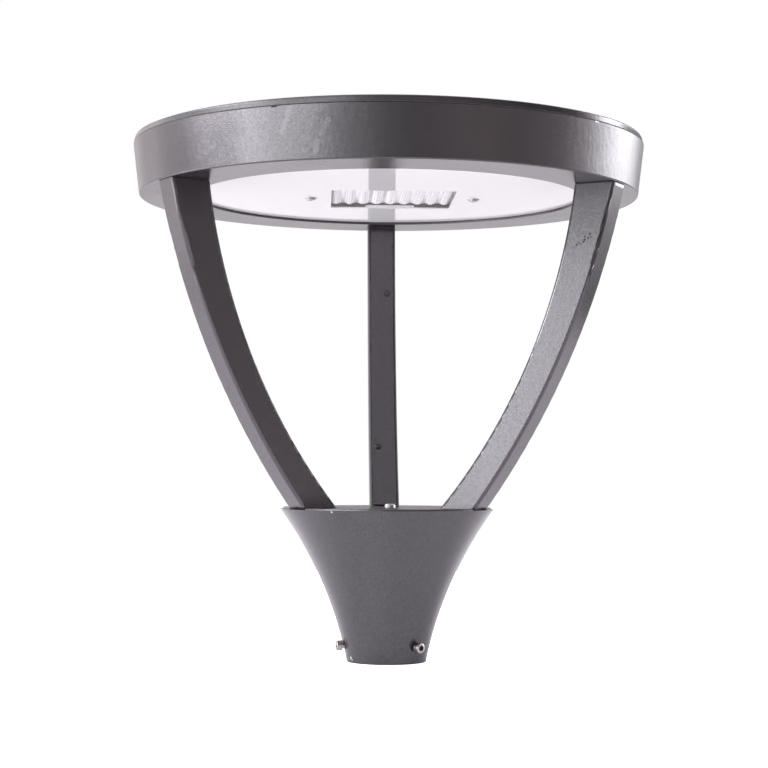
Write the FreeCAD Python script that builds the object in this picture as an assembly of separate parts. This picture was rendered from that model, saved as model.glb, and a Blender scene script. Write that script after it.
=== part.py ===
import FreeCAD, Part
import math
import os

# Street light head for the top of a pole: a flared cup that takes the pole, three curved arms,
# and a round tapered housing with a glossy white panel and one square LED module underneath.
# The origin is the middle of the cup's foot, Z is up, and the first arm points along +Y.

os.makedirs("parts", exist_ok=True)
V = FreeCAD.Vector

# Clearances
tap_gap = 0.1            # radial, between a screw and its tapped hole
pass_gap = 0.25          # radial, between a screw and a hole it passes through
seat_gap = 0.3           # between curved faces that seat on each other
slip_gap = 0.4           # between an arm and the notch it passes
tip_gap = 1.0            # between a screw's tip and the bottom of its hole
past = 1.0               # how far a cut or a fused piece runs past a face

# Flared cup and its pole socket
cup_height = 148.3
cup_foot_radius = 38.7
cup_waist_radius = 62.0  # outside, at half the height
cup_rim_radius = 103.9
cup_rim_wall = 2.0
cup_waist_wall = 3.8
pocket_wall = 5.0
socket_bore = 62.0
socket_depth = 76.0
socket_roof = 8.0
socket_chamfer = 1.0
sleeve_wall = 5.0
pocket_floor = 34.0
supply_hole = 30.0
cup_rib = 6.0
cup_boss = 14.0
cup_boss_inset = 14.7    # from the cup's inner face to the middle of a boss
cup_boss_tap_depth = 16.0
rib_skin = 1.0           # how far the ribs stay under the cup's outer face

# Screws that clamp the cup to the pole
clamp_thread = 6.0
clamp_head = 10.0
clamp_head_height = 6.0
clamp_key = 5.0
clamp_key_depth = 3.0
clamp_head_round = 1.0
clamp_screw_height = 16.0
clamp_screw_lag = 20.0   # degrees from each arm
clamp_screw_stand = 1.6  # bare thread between the cup and the head
clamp_tip_gap = 0.5      # how far the tip stays outside the bore

# Plate inside the cup that the arms stand on
carrier_depth = 38.3     # from the cup's rim down to the plate's underside
carrier_thickness = 8.0
carrier_cable_hole = 10.0
m6_thread = 6.0
m6_head = 10.5
m6_head_height = 3.3
carrier_screw_length = 20.0
foot_screw_length = 18.0
foot_screw_inset = 18.3  # from the arm's inner face
foot_screw_spread = 8.0
foot_cable_step = 15.0   # from the foot screws out to the cable's hole

# Round cover that closes the cup
cover_thickness = 4.0
cover_stand = 1.7        # how far the cover rises above the rim
cover_chamfer = 0.4
cover_screw_offset = 3.0
cover_screw_length = 14.0
cover_screw_round = 2.2
cover_screw_key = 4.0
cover_screw_key_depth = 1.8
pillar_diameter = 16.0

# Arms: channels that open towards the axis, closed by a strip
arm_count = 3
first_arm_angle = 90.0
arm_width = 29.6
arm_corner = 3.0
arm_wall = 3.0
arm_bulge = 20.7         # how far the outer face bows out beside the middle of its ends' radii
arm_middle_depth = 31.8
arm_rim_depth = 38.0
arm_top_depth = 39.7
arm_top_inset = 1.7
foot_block = 22.0
head_block = 21.0
strip_width = 24.2
strip_thickness = 2.0
strip_gap = 0.4
strip_recess = 0.4
strip_foot_gap = 1.5
strip_head_gap = 3.0
strip_ledge = 2.2
strip_screw_heights = (211.0, 378.0)
strip_screw_offset = 5.5
strip_boss = 9.0
strip_thread = 3.5
strip_head = 6.2
strip_head_height = 1.8
strip_screw_length = 8.0
strip_head_round = 0.6
strip_head_lift = 0.03   # the flat head clears the strip's hollow curve

# Housing ring
ring_bottom = 453.3
ring_height = 48.1
ring_seam_radius = 250.0
ring_taper = 5.7         # how much smaller the radius is at the foot
ring_wall = 3.0
ring_foot_round = 1.2
seam_chamfer = 0.5
flange_thickness = 3.0
flange_width = 54.8
shelf_depth = 4.0
shelf_width = 7.0
shelf_thickness = 3.0
shelf_slope = 5.4
head_screw_inset = 33.1  # from the arm's outer face
head_screw_spread = 8.0
head_screw_length = 14.0
head_pad = 1.0           # rubber pad between an arm and the flange
head_pad_inset = 0.4
gland_step = 16.5        # from the head screws out to the gland
cover_boss = 12.0
cover_boss_inset = 11.3  # from the ring's foot radius
cover_boss_web = 6.0
cover_boss_count = 6

# Rebate, gasket and clips that hold the panel's edge
panel_overlap = 10.0     # how far the panel's edge reaches over the flange
panel_sink = 0.4         # how far the panel's underside lies below the flange's top
gasket_thickness = 0.8
gasket_inset = 0.5
rebate_gap = 1.5
clip_count = 6
clip_first_angle = 15.0
clip_sheet = 1.2
clip_width = 12.0
clip_bite = 4.0
clip_foot = 11.0
m4_thread = 4.0
m4_head = 7.0
m4_head_height = 2.4
clip_tap_depth = 2.2
clip_tip_gap = 0.2

# White panel with its square window
panel_sheet = 1.2
module_x = 4.3
module_y = 20.3
window_side = 121.3
window_corner = 1.0
window_tab_width = 50.0
window_tab_height = 2.1
panel_screw_step = 6.0   # from the heat sink's side out to the panel's screws
panel_screw_y = 14.2
panel_washer = 12.0
panel_washer_height = 0.6
panel_head = 8.6
panel_head_height = 1.6
panel_head_round = 1.2
panel_slot_width = 1.2
panel_slot_depth = 1.0
panel_screw_length = 5.0
standoff_flats = 8.0
standoff_tap = 5.0

# LED module
lens_columns = 9
lens_rows = 9
lens_column_pitch = 13.85
lens_row_pitch = 13.2
lens_diameter = 11.6
lens_height = 2.6
lens_recess = 3.2
lens_skin = 2.0
lens_pocket = 1.6
lens_plate_side = 134.0
lens_rim = 8.0
lens_screw_span = 83.0
lens_screw_edge = 4.5
lens_screw_length = 9.0
lens_tap = 4.5
board_side = 132.0
board_thickness = 1.6
chip_side = 3.5
chip_height = 1.0

# Plate that carries the gear, heat sink and electrical parts
gear_sheet = 2.0
gear_boss = 12.0
gear_boss_inset = 22.3   # from the ring's foot radius
gear_boss_count = 4
gear_edge_gap = 1.0
gear_screw_length = 9.0
heat_block_side = 132.0
heat_block_height = 4.0
heat_base_side = 150.0
heat_base_thickness = 5.0
fin_count = 13
fin_thickness = 2.0
fin_height = 19.0
heat_screw_length = 7.0
driver_length = 150.0
driver_width = 58.0
driver_height = 24.0
driver_inset = 121.0     # from the gear plate's edge to the case's middle
driver_ear = 12.0
driver_ear_thickness = 3.0
driver_screw_length = 5.0
driver_round = 2.0
surge_length = 58.0
surge_width = 26.0
surge_height = 20.0
surge_round = 1.5
surge_inset = 78.0
surge_y = 10.0
terminal_length = 46.0
terminal_width = 22.0
terminal_height = 16.0
terminal_poles = 3
terminal_well = 5.0
terminal_mouth = 5.0
terminal_mouth_height = 3.0
terminal_inset = 76.0
terminal_y = 0.0
gland_body = 12.0
gland_flats = 16.0
gland_height = 14.0
gland_cap = 13.0
gland_stem = 6.0
gland_bore = 7.0

# Top cover
cover_edge_height = 6.6
cover_edge_step = 1.2    # how much smaller the cover's edge is than the seam
cover_edge_round = 2.0
cover_crown = 5.0
cover_sheet = 2.5
cover_register_width = 5.5
seal_height = 2.5
seal_gap = 0.2
m5_thread = 5.0
m5_head = 9.5
m5_head_height = 2.75
cover_screw_sink = 0.9
head_gap = 0.5           # between a screw's head and the hole that it sinks into
top_screw_length = 22.0
m5_head_round = 1.8
m5_key = 3.0
m5_key_depth = 1.5


# A circular arc in the plane of radius and height, through three (radius, height) points.
class Bow:
    def __init__(self, a, b, c):
        square_a = a[0] ** 2 + a[1] ** 2
        square_b = b[0] ** 2 + b[1] ** 2
        square_c = c[0] ** 2 + c[1] ** 2
        d = 2 * (a[0] * (b[1] - c[1]) + b[0] * (c[1] - a[1]) + c[0] * (a[1] - b[1]))
        self.r = (square_a * (b[1] - c[1]) + square_b * (c[1] - a[1]) + square_c * (a[1] - b[1])) / d
        self.z = (square_a * (c[0] - b[0]) + square_b * (a[0] - c[0]) + square_c * (b[0] - a[0])) / d
        self.radius = math.hypot(a[0] - self.r, a[1] - self.z)
        self.side = 1 if a[0] > self.r else -1

    # The same arc with its face moved away from the axis
    def moved(self, distance):
        other = Bow.__new__(Bow)
        other.r = self.r
        other.z = self.z
        other.radius = self.radius + self.side * distance
        other.side = self.side
        return other

    def at(self, height):
        return self.r + self.side * math.sqrt(self.radius ** 2 - (height - self.z) ** 2)

    def point(self, height):
        return (self.at(height), height)

    # Middle point and end point of the stretch between two heights
    def stretch(self, start, end):
        return (self.point((start + end) / 2), self.point(end))

    # Unit vector in the plane of X and Z that points from the face to the arc's centre
    def inward(self, height):
        return V(self.r - self.at(height), 0, self.z - height) / self.radius


# A flat face in the plane of radius and height. A step is a point, or a middle and an end point of an arc.
def outline(start, *steps):
    edges = []
    here = V(start[0], 0, start[1])
    for step in steps + (start,):
        if isinstance(step[0], tuple):
            middle = V(step[0][0], 0, step[0][1])
            there = V(step[1][0], 0, step[1][1])
            edges.append(Part.Arc(here, middle, there).toShape())
        else:
            there = V(step[0], 0, step[1])
            if (there - here).Length < 1e-7:
                continue
            edges.append(Part.makeLine(here, there))
        here = there
    return Part.Face(Part.Wire(edges))


def turned(start, *steps):
    return outline(start, *steps).revolve(V(0, 0, 0), V(0, 0, 1), 360)


def cylinder(diameter, bottom, top, x=0.0, y=0.0):
    return Part.makeCylinder(diameter / 2, top - bottom, V(x, y, bottom))


def block(length, width, bottom, top, x=0.0, y=0.0):
    return Part.makeBox(length, width, top - bottom, V(x - length / 2, y - width / 2, bottom))


def hexagon(flats, height):
    radius = flats / math.sqrt(3)
    corners = [polar(radius, angle) for angle in evenly(6)]
    return Part.Face(Part.makePolygon(corners + corners[:1])).extrude(V(0, 0, height))


# Turns a shape about the lamp's axis
def around(shape, degrees):
    copy = shape.copy()
    copy.rotate(V(0, 0, 0), V(0, 0, 1), degrees)
    return copy


# Moves a shape that stands on the origin along +Z to a point, to stand along a direction
def placed(shape, point, direction=V(0, 0, 1)):
    copy = shape.copy()
    turn = FreeCAD.Rotation(V(0, 0, 1), direction)
    copy.Placement = FreeCAD.Placement(point, turn).multiply(copy.Placement)
    return copy


def polar(radius, degrees, height=0.0):
    angle = math.radians(degrees)
    return V(radius * math.cos(angle), radius * math.sin(angle), height)


def evenly(count, first=0.0):
    return [first + 360.0 * k / count for k in range(count)]


def upright_edges(shape):
    return [edge for edge in shape.Edges if abs(edge.tangentAt(edge.FirstParameter).z) > 0.999]


def group(shapes):
    return Part.makeCompound(shapes)


# Diameters of the holes that a screw turns into and passes through
def tapped(thread):
    return thread + 2 * tap_gap


def passing(thread):
    return thread + 2 * pass_gap


# A screw with its head's seat on the origin, the head above it and the thread below
def screw(thread, length, head, head_height, rounding=0.0, key=0.0, key_depth=0.0):
    body = Part.makeCylinder(head / 2, head_height)
    if rounding:
        top = [e for e in body.Edges if e.Length > head and abs(e.CenterOfMass.z - head_height) < 1e-6]
        body = body.makeFillet(rounding, top)
    body = body.fuse(Part.makeCylinder(thread / 2, length, V(0, 0, -length))).removeSplitter()
    if key:
        recess = placed(hexagon(key, key_depth + past), V(0, 0, head_height - key_depth))
        body = body.cut(recess)
    return body


arm_angles = evenly(arm_count, first_arm_angle)
between_angles = [angle + 180.0 / arm_count for angle in arm_angles]
clamp_angles = [angle - clamp_screw_lag for angle in arm_angles]
boss_angles = evenly(cover_boss_count)
gear_angles = evenly(gear_boss_count, 180.0 / gear_boss_count)
clip_angles = evenly(clip_count, clip_first_angle)

# Heights that follow from the sizes above
carrier_height = cup_height - carrier_depth
ring_top = ring_bottom + ring_height
flange_top = ring_bottom + flange_thickness
arm_head = ring_bottom - head_pad
panel_bottom = flange_top - panel_sink
rebate_floor = panel_bottom - gasket_thickness
panel_top = panel_bottom + panel_sheet
lens_bottom = panel_bottom + lens_recess + lens_height
board_bottom = lens_bottom + lens_skin + lens_pocket
board_top = board_bottom + board_thickness
gear_bottom = board_top + heat_block_height - gear_sheet
gear_top = gear_bottom + gear_sheet
shelf_height = ring_top - shelf_depth
cover_top = cup_height + cover_stand
cover_bottom = cover_top - cover_thickness
foot_height = carrier_height + carrier_thickness
lid_edge_top = ring_top + cover_edge_height

# Radii that follow
ring_foot_radius = ring_seam_radius - ring_taper
opening_radius = ring_foot_radius - flange_width
cover_boss_circle = ring_foot_radius - cover_boss_inset
gear_boss_circle = ring_foot_radius - gear_boss_inset
cover_edge_radius = ring_seam_radius - cover_edge_step
sleeve_radius = socket_bore / 2 + sleeve_wall
panel_radius = opening_radius + panel_overlap
rebate_radius = panel_radius + rebate_gap
gear_radius = cover_boss_circle - cover_boss / 2 - gear_edge_gap
driver_y = driver_inset - gear_radius
surge_x = surge_inset - gear_radius
terminal_x = gear_radius - terminal_inset
panel_screw_span = heat_base_side + 2 * panel_screw_step

# The cup's outer and inner faces
cup_outer = Bow((cup_foot_radius, 0), (cup_waist_radius, cup_height / 2), (cup_rim_radius, cup_height))
cup_inner = Bow(
    (cup_outer.at(pocket_floor) - pocket_wall, pocket_floor),
    (cup_waist_radius - cup_waist_wall, cup_height / 2),
    (cup_rim_radius - cup_rim_wall, cup_height),
)
cup_boss_circle = cup_inner.at(carrier_height) - cup_boss_inset

# The arm's outer face just clears the cup's mouth; its corners are the closest places.
arm_flat = arm_width / 2 - arm_corner
arm_rim_radius = math.sqrt((cup_inner.at(cup_height) - seat_gap) ** 2 - arm_flat ** 2)
arm_top_radius = ring_foot_radius - arm_top_inset
arm_middle_height = (cup_height + ring_bottom) / 2
arm_middle_radius = (arm_rim_radius + arm_top_radius) / 2 + arm_bulge
arm_outer = Bow(
    (arm_rim_radius, cup_height),
    (arm_middle_radius, arm_middle_height),
    (arm_top_radius, ring_bottom),
)
arm_inner = Bow(
    (arm_rim_radius - arm_rim_depth, cup_height),
    (arm_middle_radius - arm_middle_depth, arm_middle_height),
    (arm_top_radius - arm_top_depth, ring_bottom),
)
foot_screw_radius = arm_inner.at(foot_height) + foot_screw_inset
foot_cable_radius = foot_screw_radius + foot_cable_step
head_screw_radius = arm_top_radius - head_screw_inset
gland_radius = head_screw_radius + gland_step


def ring_outer_radius(height):
    share = (height - ring_bottom) / ring_height
    return ring_foot_radius + (ring_seam_radius - ring_foot_radius) * share


# Cast cup: flared wall, sleeve with the pole socket, three ribs that carry the arms' plate
def spigot_cup():
    mouth = socket_bore / 2 + socket_chamfer
    cup = turned(
        (mouth, 0),
        (cup_foot_radius, 0),
        cup_outer.stretch(0, cup_height),
        cup_inner.point(cup_height),
        cup_inner.stretch(cup_height, pocket_floor),
        (sleeve_radius, pocket_floor),
        (sleeve_radius, socket_depth + socket_roof),
        (supply_hole / 2, socket_depth + socket_roof),
        (supply_hole / 2, socket_depth),
        (socket_bore / 2, socket_depth),
        (socket_bore / 2, socket_chamfer),
    )
    skin = cup_outer.moved(-rib_skin)
    envelope = turned((0, 0), (skin.at(0), 0), skin.stretch(0, cup_height), (0, cup_height))
    root = pocket_floor - rib_skin
    rib_start = sleeve_radius - sleeve_wall / 2
    rib_length = cup_rim_radius - rib_start
    rib = Part.makeBox(rib_length, cup_rib, carrier_height - root, V(rib_start, -cup_rib / 2, root))
    boss = cylinder(cup_boss, root, carrier_height, cup_boss_circle)
    hole = cylinder(tapped(m6_thread), carrier_height - cup_boss_tap_depth, carrier_height, cup_boss_circle)
    web = rib.fuse(boss).common(envelope).cut(hole)
    cup = cup.fuse([around(web, angle) for angle in between_angles]).removeSplitter()
    holes = []
    for angle in clamp_angles:
        bore = Part.makeCylinder(tapped(clamp_thread) / 2, cup_rim_radius, V(0, 0, 0), V(1, 0, 0))
        bore.translate(V(0, 0, clamp_screw_height))
        holes.append(around(bore, angle))
    return cup.cut(holes)


def clamp_screws():
    face = cup_outer.at(clamp_screw_height) + clamp_screw_stand
    length = face - socket_bore / 2 - clamp_tip_gap
    one = screw(clamp_thread, length, clamp_head, clamp_head_height, clamp_head_round,
                clamp_key, clamp_key_depth)
    seats = [(polar(face, angle, clamp_screw_height), polar(1, angle)) for angle in clamp_angles]
    return group([placed(one, point, direction) for point, direction in seats])


# Places of the two screws of an arm at one end, as seen along the lamp's axis
def pair(radius, spread, angle, height):
    return [around(Part.Vertex(radius, y, height), angle).Point for y in (-spread, spread)]


def arm_carrier():
    plate = cylinder(2 * (cup_inner.at(carrier_height) - seat_gap), carrier_height, foot_height)
    holes = []
    for angle in between_angles:
        spot = polar(cup_boss_circle, angle)
        holes.append(cylinder(passing(m6_thread), carrier_height, foot_height, spot.x, spot.y))
    for angle in arm_angles:
        for spot in pair(foot_screw_radius, foot_screw_spread, angle, 0):
            holes.append(cylinder(passing(m6_thread), carrier_height, foot_height, spot.x, spot.y))
        spot = polar(foot_cable_radius, angle)
        holes.append(cylinder(carrier_cable_hole, carrier_height, foot_height, spot.x, spot.y))
    holes.append(cylinder(passing(m6_thread), carrier_height, foot_height, cover_screw_offset))
    return plate.cut(holes)


def carrier_screws():
    one = screw(m6_thread, carrier_screw_length, m6_head, m6_head_height)
    return group([placed(one, polar(cup_boss_circle, angle, foot_height)) for angle in between_angles])


def arm_foot_screws():
    one = screw(m6_thread, foot_screw_length, m6_head, m6_head_height)
    spots = []
    for angle in arm_angles:
        spots += pair(foot_screw_radius, foot_screw_spread, angle, carrier_height)
    return group([placed(one, spot, V(0, 0, -1)) for spot in spots])


# Post that stands on the carrier and takes the cover's screw
def cover_pillar():
    post = cylinder(pillar_diameter, foot_height, cover_bottom, cover_screw_offset)
    stub = cylinder(m6_thread, carrier_height, foot_height, cover_screw_offset)
    thread = tapped(m6_thread)
    hole = cylinder(thread, cover_top - cover_screw_length - tip_gap, cover_bottom, cover_screw_offset)
    return post.fuse(stub).removeSplitter().cut(hole)


# Solid that an arm sweeps between two heights, made larger by a gap all round
def arm_space(bottom, top, gap=0.0, outward=0.0):
    outer = arm_outer.moved(gap + outward)
    inner = arm_inner.moved(-gap)
    profile = outline(
        inner.point(bottom),
        outer.point(bottom),
        outer.stretch(bottom, top),
        inner.point(top),
        inner.stretch(top, bottom),
    )
    width = arm_width + 2 * gap
    profile.translate(V(0, -width / 2, 0))
    return profile.extrude(V(0, width, 0))


def cup_cover():
    edge = cup_inner.moved(-seat_gap)
    rim = edge.at(cup_height)
    disc = turned(
        (0, cover_bottom),
        edge.point(cover_bottom),
        edge.point(cup_height),
        (rim, cover_top - cover_chamfer),
        (rim - cover_chamfer, cover_top),
        (0, cover_top),
    )
    notch = arm_space(cover_bottom - past, cover_top + past, slip_gap, arm_corner)
    hole = cylinder(passing(m6_thread), cover_bottom, cover_top, cover_screw_offset)
    return disc.cut([around(notch, angle) for angle in arm_angles] + [hole])


def cup_cover_screw():
    one = screw(m6_thread, cover_screw_length, m6_head, m6_head_height, cover_screw_round,
                cover_screw_key, cover_screw_key_depth)
    return placed(one, V(cover_screw_offset, 0, cover_top))


# Place and outward direction of a strip screw, at a depth below the arm's inner face
def strip_screw_seat(index, depth):
    height = strip_screw_heights[index]
    out = arm_inner.inward(height)
    side = -strip_screw_offset if index % 2 else strip_screw_offset
    return V(arm_inner.at(height), side, height) - out * depth, out


# Arm in the plane of X and Z: a channel between a solid foot and a solid head
def arm():
    body = arm_space(foot_height, arm_head)
    long_edges = []
    for edge in body.Edges:
        if isinstance(edge.Curve, Part.Circle) and edge.Length > foot_block:
            long_edges.append(edge)
    body = body.makeFillet(arm_corner, long_edges)

    recess_face = arm_inner.moved(strip_recess + strip_thickness)
    hollow_low = foot_height + foot_block
    hollow_high = arm_head - head_block
    recess_low = cover_top + strip_foot_gap - strip_gap
    recess_high = ring_bottom - strip_head_gap + strip_gap
    recess = outline(
        recess_face.point(recess_low),
        recess_face.stretch(recess_low, recess_high),
        arm_inner.moved(-arm_wall).point(recess_high),
        arm_inner.moved(-arm_wall).stretch(recess_high, recess_low),
    )
    recess_width = strip_width + 2 * strip_gap
    recess.translate(V(0, -recess_width / 2, 0))
    recess = recess.extrude(V(0, recess_width, 0))

    back = arm_outer.moved(-arm_wall)
    hollow = outline(
        back.point(hollow_low),
        back.stretch(hollow_low, hollow_high),
        arm_inner.point(hollow_high),
        arm_inner.stretch(hollow_high, hollow_low),
    )
    hollow_width = recess_width - 2 * strip_ledge
    hollow.translate(V(0, -hollow_width / 2, 0))
    hollow = hollow.extrude(V(0, hollow_width, 0))

    bosses = []
    taps = []
    for index in range(len(strip_screw_heights)):
        seat, out = strip_screw_seat(index, strip_recess + strip_thickness)
        bosses.append(placed(Part.makeCylinder(strip_boss / 2, arm_middle_depth), seat, out * -1))
        tap = Part.makeCylinder(tapped(strip_thread) / 2, strip_screw_length)
        taps.append(placed(tap, seat, out * -1))
    hollow = hollow.cut(bosses)
    body = body.cut([recess, hollow])

    holes = []
    for y in (-foot_screw_spread, foot_screw_spread):
        depth = foot_screw_length - carrier_thickness + tip_gap
        holes.append(cylinder(tapped(m6_thread), foot_height, foot_height + depth, foot_screw_radius, y))
    holes.append(cylinder(carrier_cable_hole, foot_height, hollow_low + past, foot_cable_radius))
    for y in (-head_screw_spread, head_screw_spread):
        depth = head_screw_length - flange_thickness - head_pad + tip_gap
        holes.append(cylinder(tapped(m6_thread), arm_head - depth, arm_head, head_screw_radius, y))
    holes.append(cylinder(passing(gland_body), hollow_high - past, arm_head, gland_radius))
    return body.cut(taps + holes)


# Strip that closes the channel, with holes for its two screws
def arm_strip():
    low = cover_top + strip_foot_gap
    high = ring_bottom - strip_head_gap
    front = arm_inner.moved(strip_recess)
    back = front.moved(strip_thickness)
    face = outline(front.point(low), back.point(low), back.stretch(low, high), front.point(high),
                   front.stretch(high, low))
    face.translate(V(0, -strip_width / 2, 0))
    strip = face.extrude(V(0, strip_width, 0))
    for index in range(len(strip_screw_heights)):
        seat, out = strip_screw_seat(index, strip_recess + 2 * strip_thickness)
        hole = Part.makeCylinder(passing(strip_thread) / 2, 3 * strip_thickness)
        strip = strip.cut(placed(hole, seat, out))
    return strip


def arm_strip_screws():
    one = screw(strip_thread, strip_screw_length, strip_head, strip_head_height, strip_head_round)
    shapes = []
    for angle in arm_angles:
        for index in range(len(strip_screw_heights)):
            seat, out = strip_screw_seat(index, strip_recess - strip_head_lift)
            shapes.append(around(placed(one, seat, out), angle))
    return group(shapes)


# Rubber pads that seal the arms' heads against the flange
def arm_head_pads():
    pad = arm_space(arm_head, ring_bottom, -head_pad_inset)
    corners = [edge for edge in pad.Edges if edge.Length < arm_corner]
    pad = pad.makeFillet(arm_corner - head_pad_inset, corners)
    holes = [cylinder(passing(gland_body), arm_head, ring_bottom, gland_radius)]
    for y in (-head_screw_spread, head_screw_spread):
        holes.append(cylinder(passing(m6_thread), arm_head, ring_bottom, head_screw_radius, y))
    pad = pad.cut(holes)
    return group([around(pad, angle) for angle in arm_angles])


def arm_head_screws():
    one = screw(m6_thread, head_screw_length, m6_head, m6_head_height)
    spots = []
    for angle in arm_angles:
        spots += pair(head_screw_radius, head_screw_spread, angle, flange_top)
    return group([placed(one, spot) for spot in spots])


# Cast ring: tapered wall, flange with a rebate for the panel, shelf for the cover's seal, screw bosses
def housing_ring():
    slope_bottom = shelf_height - shelf_thickness - shelf_slope
    half_round = ring_foot_round * (1 - math.sqrt(0.5))
    ring = turned(
        (opening_radius, ring_bottom),
        (ring_foot_radius - ring_foot_round, ring_bottom),
        ((ring_foot_radius - half_round, ring_bottom + half_round),
         (ring_outer_radius(ring_bottom + ring_foot_round), ring_bottom + ring_foot_round)),
        (ring_outer_radius(ring_top - seam_chamfer), ring_top - seam_chamfer),
        (ring_seam_radius - seam_chamfer, ring_top),
        (ring_seam_radius - ring_wall, ring_top),
        (ring_seam_radius - ring_wall, shelf_height),
        (ring_seam_radius - ring_wall - shelf_width, shelf_height),
        (ring_seam_radius - ring_wall - shelf_width, shelf_height - shelf_thickness),
        (ring_outer_radius(slope_bottom) - ring_wall, slope_bottom),
        (ring_outer_radius(flange_top) - ring_wall, flange_top),
        (rebate_radius, flange_top),
        (rebate_radius, rebate_floor),
        (opening_radius, rebate_floor),
    )
    solids = []
    holes = []
    for angle in boss_angles:
        boss = cylinder(cover_boss, flange_top - past, shelf_height, cover_boss_circle)
        web_end = ring_outer_radius(flange_top) - ring_wall / 2
        web = Part.makeBox(web_end - cover_boss_circle, cover_boss_web, shelf_height - flange_top + past,
                           V(cover_boss_circle, -cover_boss_web / 2, flange_top - past))
        solids.append(around(boss.fuse(web), angle))
        hole_bottom = shelf_height - top_screw_length
        hole = cylinder(tapped(m5_thread), hole_bottom, shelf_height, cover_boss_circle)
        holes.append(around(hole, angle))
    for angle in gear_angles:
        solids.append(around(cylinder(gear_boss, flange_top - past, gear_bottom, gear_boss_circle), angle))
        hole_bottom = gear_bottom - gear_screw_length
        hole = cylinder(tapped(m4_thread), hole_bottom, gear_bottom, gear_boss_circle)
        holes.append(around(hole, angle))
    for angle in arm_angles:
        for spot in pair(head_screw_radius, head_screw_spread, angle, 0):
            holes.append(cylinder(passing(m6_thread), ring_bottom, flange_top, spot.x, spot.y))
    for angle in clip_angles:
        hole = cylinder(tapped(m4_thread), flange_top - clip_tap_depth, flange_top, clip_screw_radius())
        holes.append(around(hole, angle))
    spot = polar(gland_radius, first_arm_angle)
    holes.append(cylinder(passing(gland_body), ring_bottom, flange_top, spot.x, spot.y))
    return ring.fuse(solids).removeSplitter().cut(holes)


def panel_gasket():
    return turned(
        (opening_radius + gasket_inset, rebate_floor),
        (rebate_radius - gasket_inset, rebate_floor),
        (rebate_radius - gasket_inset, panel_bottom),
        (opening_radius + gasket_inset, panel_bottom),
    )


def clip_riser_radius():
    return rebate_radius + seat_gap


def clip_screw_radius():
    return clip_riser_radius() + clip_sheet + clip_foot / 2


# Bent sheet clips that hold the panel down at its edge
def panel_clips():
    riser = clip_riser_radius()
    bend = riser + clip_sheet
    face = outline(
        (bend + clip_foot, flange_top),
        (bend + clip_foot, flange_top + clip_sheet),
        (bend, flange_top + clip_sheet),
        (bend, panel_top + clip_sheet),
        (panel_radius - clip_bite, panel_top + clip_sheet),
        (panel_radius - clip_bite, panel_top),
        (riser, panel_top),
        (riser, flange_top),
    )
    face.translate(V(0, -clip_width / 2, 0))
    clip = face.extrude(V(0, clip_width, 0))
    hole = cylinder(passing(m4_thread), flange_top, flange_top + clip_sheet, clip_screw_radius())
    clip = clip.cut(hole)
    return group([around(clip, angle) for angle in clip_angles])


def panel_clip_screws():
    one = screw(m4_thread, clip_sheet + clip_tap_depth - clip_tip_gap, m4_head, m4_head_height)
    seat = flange_top + clip_sheet
    return group([placed(one, polar(clip_screw_radius(), angle, seat)) for angle in clip_angles])


def panel_screw_spots(height):
    return [V(module_x + side * panel_screw_span / 2, panel_screw_y, height) for side in (-1, 1)]


# Glossy white sheet with a square window and a tab bent up at the window's far side
def reflector_panel():
    sheet = cylinder(2 * panel_radius, panel_bottom, panel_top)
    window = block(window_side, window_side, panel_bottom, panel_top, module_x, module_y)
    window = window.makeFillet(window_corner, upright_edges(window))
    tab_y = module_y + window_side / 2 + panel_sheet / 2
    tab = block(window_tab_width, panel_sheet, panel_top, panel_top + window_tab_height, module_x, tab_y)
    holes = []
    for spot in panel_screw_spots(panel_bottom):
        holes.append(cylinder(passing(m4_thread), panel_bottom, panel_top, spot.x, spot.y))
    return sheet.cut([window] + holes).fuse(tab).removeSplitter()


def panel_screws():
    one = screw(m4_thread, panel_screw_length, panel_washer, panel_washer_height)
    crown = screw(m4_thread, panel_washer_height / 2, panel_head, panel_head_height, panel_head_round)
    crown.translate(V(0, 0, panel_washer_height))
    crown_top = panel_washer_height + panel_head_height
    slot = block(panel_head / 2, panel_slot_width, crown_top - panel_slot_depth, crown_top + past)
    one = one.fuse(crown).removeSplitter().cut([slot, around(slot, 90)])
    return group([placed(one, spot, V(0, 0, -1)) for spot in panel_screw_spots(panel_bottom)])


def panel_standoffs():
    height = gear_bottom - panel_top
    low = cylinder(tapped(m4_thread), 0, panel_screw_length - panel_sheet + tip_gap)
    high = cylinder(tapped(m4_thread), height - standoff_tap, height)
    one = hexagon(standoff_flats, height).cut([low, high])
    return group([placed(one, spot) for spot in panel_screw_spots(panel_top)])


def lens_places():
    places = []
    for column in range(lens_columns):
        for row in range(lens_rows):
            x = module_x + (column - (lens_columns - 1) / 2) * lens_column_pitch
            y = module_y + (row - (lens_rows - 1) / 2) * lens_row_pitch
            places.append((x, y))
    return places


def lens_screw_spots(height):
    half = lens_screw_span / 2
    edge = lens_plate_side / 2 - lens_screw_edge
    return [V(module_x + x, module_y + y, height) for x in (-half, half) for y in (-edge, edge)]


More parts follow.
